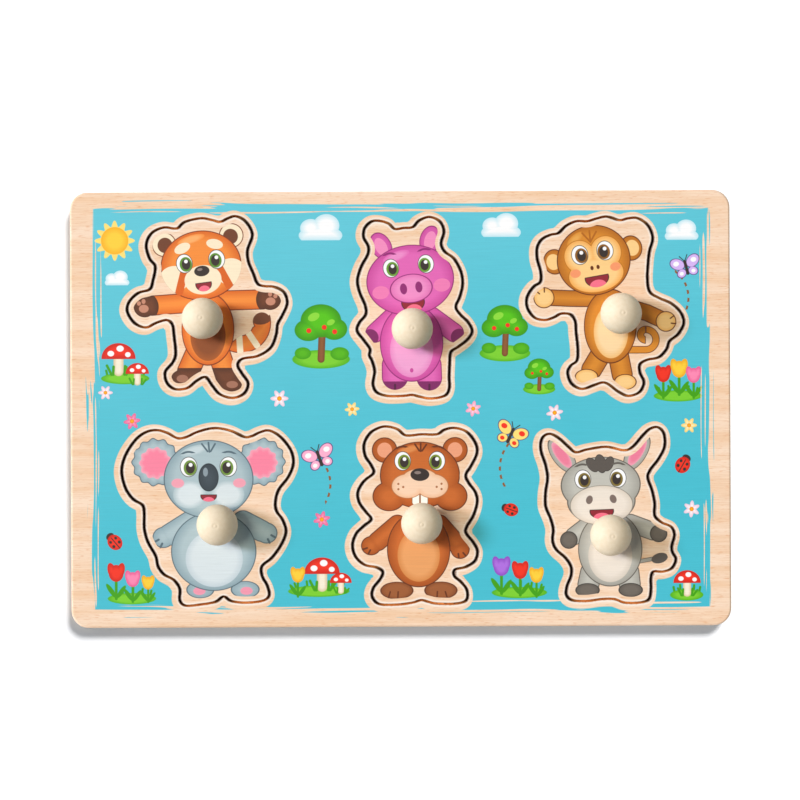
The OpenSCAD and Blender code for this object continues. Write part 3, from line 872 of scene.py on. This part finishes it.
def toadstool(ink, s, x, y, size):
    t = s.spot(x, y, 0, size)
    ink(t.bar(0, -5, 0, 0, 1.8), "fbf0d8", rim="dcc69a", depth=1.2)
    cap = t.oval(0, -0.4, 6.2, 5.6) & ~t.below(-0.6)
    ink(cap, RED, rim=RED_DEEP, depth=2.2)
    ink(cap & t.ovals((-2.8, 1.4, 1.2, 1), (0.6, 3.2, 1.3, 1.1), (3.4, 1, 1, 0.9)), WHITE)
    blades = t.bars(0.5, (-2.6, -6.2, -4.2, -3), (-2, -6.2, -1.8, -3.4),
                    (2.2, -6.2, 2.4, -3.2), (2.8, -6.2, 4.6, -3.8))
    ink(blades, LEAF)


def tulip(ink, s, x, y, size, petal, deep):
    t = s.spot(x, y, 0, size)
    leaves = t.ovals((-1.9, -5, 3.2, 0.9, 125), (1.9, -5.4, 2.9, 0.85, 55))
    ink(t.bar(0, -8, 0, 0, 0.55) | leaves, LEAF)
    cup = t.ovals((-1.7, 2.6, 1.5, 3, 14), (1.7, 2.6, 1.5, 3, -14), (0, 1.6, 2.8, 3.2))
    ink(cup, petal, rim=deep, depth=1.6)


def butterfly(ink, s, x, y, turn, size, wing, spot):
    b, pair = s.both(x, y, turn, size)
    ink(pair.ovals((3, 1.7, 3, 2.2, 32), (2.2, -2, 2, 1.7, -30)), wing, "5a3a78", width=0.3)
    ink(pair.ovals((3.4, 2, 1.1, 0.9), (2.3, -2.1, 0.8, 0.7)), spot)
    ink(b.bar(0, -2.6, 0, 2.2, 0.55) | pair.bar(0.2, 2.4, 1.5, 4.4, 0.18), SOOT)


def trail(ink, s, x, y, radius, facing, spread, dashes):
    """A dashed flight line: part of a ring, where a wave that runs round it is high."""
    t = s.spot(x, y, facing)
    ink(t.arch(0, 0, radius, 0.5, 0, spread) & t.bloom(0, 0, radius, dashes, 2), "8a5a30")


def ladybird(ink, s, x, y, turn, size):
    b, pair = s.both(x, y, turn, size)
    ink(b.oval(0, 2.9, 1.7, 1.4), SOOT)
    ink(b.oval(0, 0, 2.8, 3.2), RED, rim=RED_DEEP, depth=1.2)
    dots = pair.ovals((1.3, 1.1, 0.55, 0.6), (1.4, -1, 0.6, 0.65))
    ink(b.bar(0, -3, 0, 2.2, 0.2) | dots, SOOT)


def blossom(ink, s, x, y, size, turn, petal, deep):
    ink(s.bloom(x, y, size, 6, 0.28 * size, turn), petal, rim=deep, depth=0.8 * size)
    ink(s.oval(x, y, 0.34 * size, 0.34 * size), "ffb81e", rim="ef8a12", depth=0.3 * size)


def sun(ink, s, x, y, size):
    ink(s.bloom(x, y, size * 1.25, 12, size * 0.22), "ffe27a")
    ink(s.oval(x, y, size, size), "ffd23c", rim="fbb320", depth=0.5 * size)


PINK = ("ff8ab4", "e85a92")
GOLD = ("ffd23c", "f0a818")
SCARLET = (RED, RED_DEEP)
VIOLET = ("b06fe0", "8a48c0")
SNOW = (WHITE, "f2c9dc")
ROSE = ("ff9fc0", "ea5f95")
CREAM = ("fff2c2", "ffd86a")

# The motifs on the board's face, in the order in which they are drawn: places in millimetres, and settings
MOTIFS = {
    sun: [(-129.5, 77, 6.2)],
    cloud: [(-128.5, 58, 0.62), (-36, 79, 1.1), (46, 80, 1), (128, 78, 0.85)],
    tree: [(-36, 34, 1.25), (47.5, 35, 1.1), (63, 15, 0.7)],
    meadow: [(-125, 14.4, 11), (-122.4, -85.6, 11), (-37.5, -82.6, 14), (53.6, -83.6, 12.6),
             (126, 5.4, 11), (129.6, -85, 7.6)],
    toadstool: [(-128, 24, 1.25), (-119.5, 17, 0.85), (-36, -74, 1.3), (-27.5, -78.4, 0.8), (129.8, -79, 1)],
    tulip: [(-129.5, -76, 1.2, *SCARLET), (-122, -78.6, 1.05, *PINK), (-115, -80, 0.9, *GOLD),
            (-47, -77, 1, *GOLD), (45.5, -74, 1.25, *VIOLET), (54, -75.6, 1.15, *SCARLET),
            (61.4, -77.6, 1, *GOLD), (119.4, 13.4, 1.1, *SCARLET), (126.6, 15.6, 1.2, *GOLD),
            (133.2, 13, 1.05, *PINK)],
    blossom: [(-134, 8, 2.6, 0, *SNOW), (-122, -5, 3, 8, *ROSE), (-55, 5, 3.2, 0, *SNOW),
              (-22, 0, 2.6, 5, *CREAM), (-36, -50, 3, 15, *ROSE),
              (33, 0, 2.8, 20, "ffd9e8", "ff9fc0"), (70, -2, 3, 10, *SNOW),
              (131, -8, 2.8, 0, *CREAM), (132, -46, 3, 25, *SNOW)],
    trail: [(-48, -34, 16, 10, 42, 26), (62, -27, 17, 168, 44, 28), (116, 50, 15, 10, 44, 26)],
    butterfly: [(-37, -22, 20, 1.3, "ffb3d2", WHITE), (50, -12, -25, 1.3, "ffe27a", RED),
                (130, 64, 15, 1.2, "d9b8f5", WHITE)],
    ladybird: [(-130, -60, 40, 1.15), (50, -46, 70, 1.05), (128, -26, -30, 1.2)],
}


# Printed faces

def sheet_wood(paint, shift):
    """The boards' and figures' pale wood, scorched along its cuts, with a painted highlight on the cuts'
    edges and painted shade in them.
    """
    colour, fibre = wood(paint, "fbdfc5", "f3caa4", "df9a62", shift)
    return scorched(paint, colour), fibre


def printed(paint, ground, fibre, art, share):
    """Ink over bare wood where its share says, with the grain showing through a little."""
    light = paint.ramp(fibre, 0.3, 0.7, 0.965, 1.03)
    colour = paint.mix(share, ground, art)
    colour = paint.node("HueSaturation", {}, {"Value": light, "Color": colour})
    return paint.finish(colour, paint.ramp(fibre, 0.3, 0.7, 0.46, 0.6), fibre, 0.03, Specular_IOR_Level=0.3)


def figure_print(name, art, top, middle, shift):
    """A figure's face: bare wood along the cut, and its picture inside that; its back and wall stay bare."""
    paint = Paint(name + "_picture")
    ground, fibre = sheet_wood(paint, shift)
    at = paint.vector("MULTIPLY_ADD", paint.mm, (1.0, 1.0, 0.0), (-middle[0], -middle[1], 0.0))
    ink = Print(paint, ground)
    art(ink, Spot(paint, at))
    share = paint.ramp(paint.attribute("cut"), FIGURE_RIM - SOFT, FIGURE_RIM + SOFT)
    return printed(paint, ground, fibre, ink.ink, share * paint.on_top(top))


# The printed field's middle and half size on the board, in millimetres, the spread of its brushed edge, how
# near a corner that calms down, and the share that stays there
FIELD_AT = (0.4, 0.4)
FIELD_HALF = (139.6, 90.6)
BRUSH = 22.0
CALM = 15.0
CALM_SHARE = 0.15

# Where each of the four parts of the face ends at its right, in millimetres
PART_ENDS = (-88.0, 6.5, 93.0, 200.0)


def board_print(part, top):
    """One part of the board's face: a painted field with motifs, brushed out along its four sides, and bare
    wood round every recess. The field's share is the lesser of two: how far a point lies inside the left and
    right sides, and how far inside the far and near ones, each shifted by streaks that run along those sides
    and grow calm towards the corners."""
    paint = Paint(f"board_print_{part}")
    ground, fibre = sheet_wood(paint, (0.0, 0.0, 0.0))
    flat = paint.vector("MULTIPLY", paint.mm, (1.0, 1.0, 0.0))
    x, y = paint.xy(paint.mm)
    tint = paint.noise((0.03, 0.03, 0.0)) * 60.0 - x * 0.12 + y
    field = paint.mix(paint.ramp(tint, -20.0, 120.0), "47bfd1", "62c9da")
    ink = Print(paint, field)
    face = Spot(paint, flat)
    for motif, places in MOTIFS.items():
        for place in places:
            if np.searchsorted(PART_ENDS, place[0]) == part:
                motif(ink, face, *place)
    wander = paint.noise((0.012, 0.012, 0.0), 0.0) * 3.0
    upright = paint.noise((0.75, 0.009, 0.0), 1.0, wander)
    level = paint.noise((0.009, 0.75, 0.0), 1.0, wander + 50.0)
    inside_x = FIELD_HALF[0] - abs(x - FIELD_AT[0])
    inside_y = FIELD_HALF[1] - abs(y - FIELD_AT[1])
    reach_x = inside_x + (upright - 0.5) * paint.ramp(inside_y, 0.0, CALM, CALM_SHARE * BRUSH, BRUSH)
    reach_y = inside_y + (level - 0.5) * paint.ramp(inside_x, 0.0, CALM, CALM_SHARE * BRUSH, BRUSH)
    share = paint.ramp(reach_x | reach_y, -EDGE, EDGE)
    share = share * paint.ramp(paint.attribute("bare"), HALO - EDGE, HALO + EDGE)
    return printed(paint, ground, fibre, ink.ink, share * paint.on_top(top))


# The puzzle

ART = {"red_panda": red_panda_art, "pig": pig_art, "monkey": monkey_art,
       "koala": koala_art, "beaver": beaver_art, "donkey": donkey_art}


def dress(piece, body, node, slot, *materials):
    """Finish a piece, and let it ride on a body in the place of its CAD node."""
    for material in materials:
        piece.data.materials.append(material)
    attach(piece, body)
    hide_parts(node)


low, high = corners("frame_board")
recesses = [refined(loop) for loop in face_loops("frame_board")[1:7]]
rim = rounded_rectangle(low, high)
rims = [(rim, rim_rings(low[2], high[2], 0.0, BOARD_EASE), False)]
rims += [(loop, rim_rings(low[2], high[2], 0.0, CUT_EASE), True) for loop in recesses]
upper = sheet("upper_board", rims, BOARD_GRID, shift=PRINT_SHIFT)
prints = [board_print(part, high[2]) for part in range(len(PART_ENDS))]
dress(upper, "board", "frame_board", "printed_board", *prints)
middles = rows_of(upper.data.polygons, 3, "center")
parts = np.searchsorted(np.array(PART_ENDS) * MM, middles[:, 0])
upper.data.polygons.foreach_set("material_index", parts.astype(np.int32))

low, high = corners("backing_board")
rim = rounded_rectangle(low, high)
rims = [(rim, rim_rings(low[2], high[2], BOARD_EASE, 0.0), False)]
backing = sheet("backing_sheet", rims, BACKING_GRID, recesses)
dress(backing, "board", "backing_board", "backing_plywood", backing_wood(high[2]))

turned_wood = knob_wood()
zinc = screw_zinc()
for number, (figure, art) in enumerate(ART.items()):
    low, high = corners(figure + "_piece")
    outline = refined(face_loops(figure + "_piece")[0])
    axis = sum(corners(figure + "_knob"))[:2] / 2
    bore = (screw_bore(axis), bore_rings(low[2], high[2]), False)
    rim = (outline, rim_rings(low[2], high[2], CUT_EASE, CUT_EASE), True)
    piece = sheet(figure + "_figure", [rim, bore], FIGURE_GRID)
    shift = (number * 1.7, number * 13.0, number * 5.0)
    finish = figure_print(figure, art, high[2], (low + high) / 2, shift)
    dress(piece, figure, figure + "_piece", figure + "_print", finish)
    dress(knob(figure), figure, figure + "_knob", "turned_wood", turned_wood)
    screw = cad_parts[figure + "_screw"]
    screw.data.materials.clear()
    screw.data.materials.append(zinc)


# Stage, light and camera

def floor_white():
    """A white floor that takes the puzzle's shadow."""
    paint = Paint("floor_white")
    speckle = paint.noise((0.02, 0.02, 0.02))
    return paint.finish(paint.mix(speckle, "eaf4fd", "edf6ff"), 0.9, Specular_IOR_Level=0.0)


FLOOR_HALF = 3000.0
floor_corners = FLOOR_HALF * np.array([[-1, -1, 0], [1, -1, 0], [1, 1, 0], [-1, 1, 0]])
floor = new_mesh("floor", floor_corners, [[0, 1, 2, 3]], np.zeros(1, bool), {})
floor.data.materials.append(floor_white())


def sun_lamp(name, towards, strength, softness, tint=(1.0, 1.0, 1.0), floor_state="EXCLUDE"):
    """A far lamp that shines along a direction, on all but the floor, or on the floor alone."""
    lamp = placed(name, bpy.data.lights.new(name, "SUN"))
    lamp.data.energy = strength
    lamp.data.color = tint
    lamp.data.angle = softness
    lamp.rotation_euler = Vector(towards).to_track_quat("-Z", "Y").to_euler()
    group = bpy.data.collections.new(name + "_group")
    group.objects.link(floor)
    lamp.light_linking.receiver_collection = group
    group.collection_objects[0].light_linking.link_state = floor_state


def white_room(fill):
    """A world that fills the shadows, and is white where a camera, mirror or glass sees it."""
    world = bpy.data.worlds.new("white_room")
    bpy.context.scene.world = world
    room = Nodes(world)
    rays = ("Is Camera Ray", "Is Glossy Ray", "Is Transmission Ray")
    camera, mirror, glass = (room.node("LightPath", {}, {}, ray) for ray in rays)
    strength = room.ramp(camera & mirror & glass, 0.0, 1.0, fill, 1.0)
    light = room.node("Background", {}, {"Color": WHITE, "Strength": strength})
    room.node("OutputWorld", {}, {"Surface": light})


white_room(0.2)
# The key is a little cool and the overhead lamp a little warm, and they make white together; the floor's
# lamp is a little warm for the cool floor
sun_lamp("key", (0.975, -0.22, -0.65), 2.2, 0.2, (0.956, 1.0, 1.19))
sun_lamp("overhead", (0.6, -0.18, -1.0), 1.5, 0.4, (1.05, 1.0, 0.82))
sun_lamp("floor_light", (-0.45, -0.8, -1.0), 3.7, 0.3, (1.11, 1.0, 0.92), floor_state="INCLUDE")
sun_lamp("floor_fill", (0.0, 0.0, -1.0), 0.52, 0.1, floor_state="INCLUDE")

eye = placed("camera", bpy.data.cameras.new("camera"))
eye.location = (-0.00023, 0.00409, 0.808)
eye.rotation_euler = (0.0, 0.0, -0.0045)
eye.data.sensor_width = 36.0
eye.data.lens = 79.26
bpy.context.scene.camera = eye
bpy.context.scene.view_settings.view_transform = "Standard"
